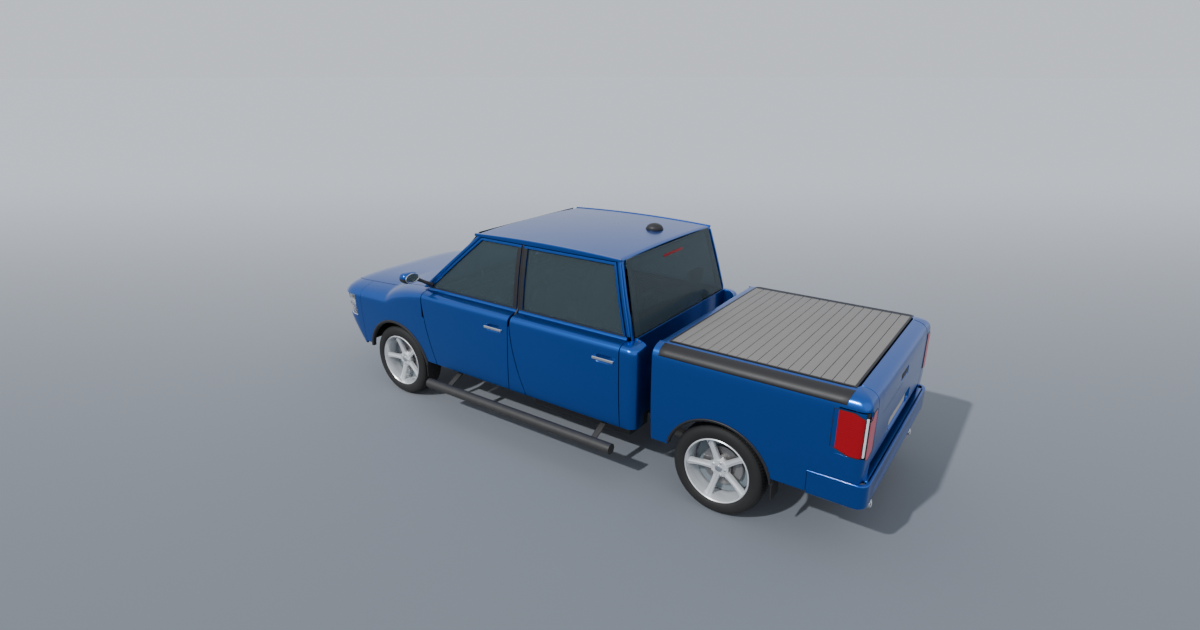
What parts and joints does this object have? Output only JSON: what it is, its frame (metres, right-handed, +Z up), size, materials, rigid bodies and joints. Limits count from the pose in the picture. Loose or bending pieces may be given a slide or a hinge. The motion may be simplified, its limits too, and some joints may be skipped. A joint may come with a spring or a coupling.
{
  "type": "crew-cab pickup truck",
  "caption": "Full-size crew-cab pickup truck with opening doors, bonnet and tailgate, steered front wheels, slatted bed cover and side step tubes.",
  "frame": {"origin": "on the ground, at the middle of the truck's footprint", "axes": "+X is forward, +Y is the truck's left, +Z is up"},
  "size_m": [5.94, 2.38, 2.0196],
  "materials": {
    "body_paint": "deep blue metallic under a clear coat",
    "floor_paint": "blue, satin",
    "chassis_black": "black, satin",
    "cast_alloy": "as cast",
    "window_glass": "grey-green tint",
    "trim_black": "grained black",
    "lamp_clear": "clear lens",
    "lamp_red": "red lens",
    "cabin_plastic": "soft grained",
    "seat_fabric": "woven",
    "cover_grey": "grey slats",
    "exhaust_steel": "bright tips",
    "tyre_rubber": "matt",
    "alloy_silver": "silver"
  },
  "bodies": {
    "chassis": {"chassis_frame": "chassis_black", "engine_block": "cast_alloy", "cab_floor": "floor_paint", "cab_frame": "body_paint", "cab_panels": "body_paint", "roof_panel": "body_paint", "windshield": "window_glass", "rear_window": "window_glass", "front_fenders": "body_paint", "front_bumper": "body_paint", "grille": "trim_black", "headlamps": "lamp_clear", "dashboard": "cabin_plastic", "steering_wheel": "cabin_plastic", "seats": "seat_fabric", "cargo_bed": "floor_paint", "bed_sides": "body_paint", "rail_caps": "trim_black", "tonneau_cover": "cover_grey", "tail_lamps": "lamp_red", "rear_bumper": "body_paint", "side_steps": "trim_black", "wheel_flares": "trim_black", "exhaust": "exhaust_steel", "fuel_tank": "trim_black", "rear_axle": "chassis_black", "front_suspension": "chassis_black", "roof_antenna": "trim_black"},
    "left_knuckle": {"left_knuckle": "cast_alloy"},
    "right_knuckle": {"right_knuckle": "cast_alloy"},
    "bonnet": {"bonnet": "body_paint"},
    "tailgate": {"tailgate": "body_paint"},
    "left_front_door": {"left_front_door": "body_paint", "left_front_glass": "window_glass", "left_mirror": "body_paint"},
    "left_rear_door": {"left_rear_door": "body_paint", "left_rear_glass": "window_glass"},
    "right_front_door": {"right_front_door": "body_paint", "right_front_glass": "window_glass", "right_mirror": "body_paint"},
    "right_rear_door": {"right_rear_door": "body_paint", "right_rear_glass": "window_glass"},
    "front_left_wheel": {"front_left_tyre": "tyre_rubber", "front_left_wheel": "alloy_silver"},
    "front_right_wheel": {"front_right_tyre": "tyre_rubber", "front_right_wheel": "alloy_silver"},
    "rear_left_wheel": {"rear_left_tyre": "tyre_rubber", "rear_left_wheel": "alloy_silver"},
    "rear_right_wheel": {"rear_right_tyre": "tyre_rubber", "rear_right_wheel": "alloy_silver"}
  },
  "joints": [
    {"name": "left_steering", "type": "hinge", "parent": "chassis", "child": "left_knuckle", "pos_m": [1.97, 0.78, 0.395], "axis": [0, 0, 1], "range_deg": [-30, 30]},
    {"name": "right_steering", "type": "hinge", "parent": "chassis", "child": "right_knuckle", "pos_m": [1.97, -0.78, 0.395], "axis": [0, 0, 1], "range_deg": [-30, 30]},
    {"name": "left_front_door_hinge", "type": "hinge", "parent": "chassis", "child": "left_front_door", "pos_m": [1.47, 1.013, 0.9], "axis": [0, 0, -1], "range_deg": [0, 65]},
    {"name": "left_rear_door_hinge", "type": "hinge", "parent": "chassis", "child": "left_rear_door", "pos_m": [0.262, 1.013, 0.9], "axis": [0, 0, -1], "range_deg": [0, 65]},
    {"name": "right_front_door_hinge", "type": "hinge", "parent": "chassis", "child": "right_front_door", "pos_m": [1.47, -1.013, 0.9], "axis": [0, 0, 1], "range_deg": [0, 65]},
    {"name": "right_rear_door_hinge", "type": "hinge", "parent": "chassis", "child": "right_rear_door", "pos_m": [0.262, -1.013, 0.9], "axis": [0, 0, 1], "range_deg": [0, 65]},
    {"name": "tailgate_hinge", "type": "hinge", "parent": "chassis", "child": "tailgate", "pos_m": [-2.895, 0, 0.8], "axis": [0, -1, 0], "range_deg": [0, 90]},
    {"name": "bonnet_hinge", "type": "hinge", "parent": "chassis", "child": "bonnet", "pos_m": [1.63, 0, 1.262], "axis": [0, -1, 0], "range_deg": [0, 50]},
    {"name": "front_left_spin", "type": "hinge", "parent": "left_knuckle", "child": "front_left_wheel", "pos_m": [1.97, 0.852, 0.395], "axis": [0, 1, 0], "continuous": true},
    {"name": "front_right_spin", "type": "hinge", "parent": "right_knuckle", "child": "front_right_wheel", "pos_m": [1.97, -0.852, 0.395], "axis": [0, 1, 0], "continuous": true},
    {"name": "rear_left_spin", "type": "hinge", "parent": "chassis", "child": "rear_left_wheel", "pos_m": [-1.83, 0.852, 0.395], "axis": [0, 1, 0], "continuous": true},
    {"name": "rear_right_spin", "type": "hinge", "parent": "chassis", "child": "rear_right_wheel", "pos_m": [-1.83, -0.852, 0.395], "axis": [0, 1, 0], "continuous": true}
  ],
  "couplings": [
    {"joint": "right_steering", "follows": "left_steering", "ratio": 1}
  ]
}
